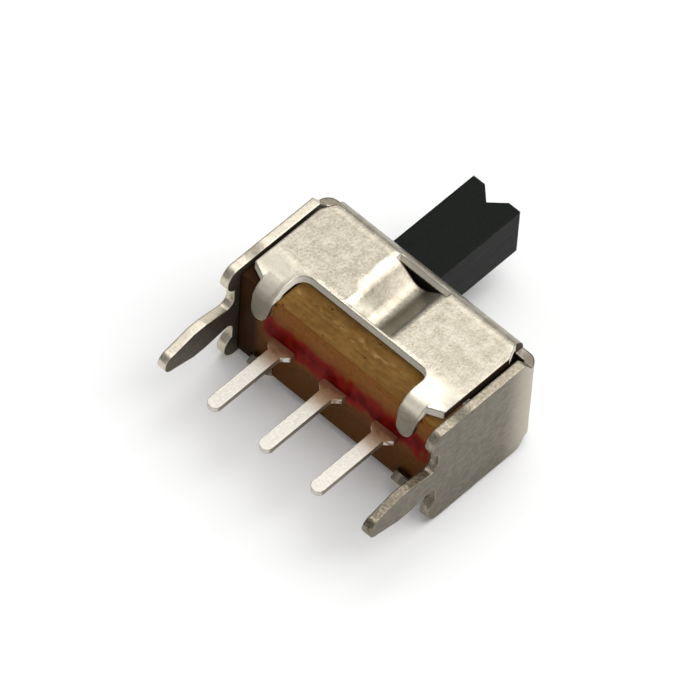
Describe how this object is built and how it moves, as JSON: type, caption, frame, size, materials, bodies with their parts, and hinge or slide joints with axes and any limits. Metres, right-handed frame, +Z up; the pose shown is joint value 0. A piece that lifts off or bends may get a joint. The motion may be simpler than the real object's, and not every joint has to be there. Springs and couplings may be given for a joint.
{
  "type": "slide switch",
  "caption": "Small slide switch: folded steel cover with mounting lugs, black sliding lever with a notched tip, laminate board and a row of blade terminals.",
  "frame": {"origin": "middle of the part's box, on the surface it lies on", "axes": "+X along the lever's travel, +Y out of the lever's tip with the terminals and lugs towards -Y, +Z up from one long wall of the cover to the other"},
  "size_m": [0.0122, 0.016, 0.0061],
  "materials": {
    "plated_steel": "satin nickel plating with a fine mottled grain",
    "black_plastic": "matt moulded",
    "bronze_strip": "rolled spring bronze",
    "phenolic_laminate": "paper laminate with sheared fibrous edges",
    "silvered_brass": "silver plated, satin",
    "red_varnish": "thin translucent red varnish"
  },
  "bodies": {
    "housing": {"cover": "plated_steel", "terminal_board": "phenolic_laminate", "terminal_1": "silvered_brass", "terminal_2": "silvered_brass", "terminal_3": "silvered_brass", "terminal_varnish": "red_varnish"},
    "slider": {"slider": "black_plastic", "moving_contact": "bronze_strip"}
  },
  "joints": [
    {"name": "lever_slide", "type": "slide", "parent": "housing", "child": "slider", "axis": [1, 0, 0], "range_m": [0, 0.0032]}
  ]
}
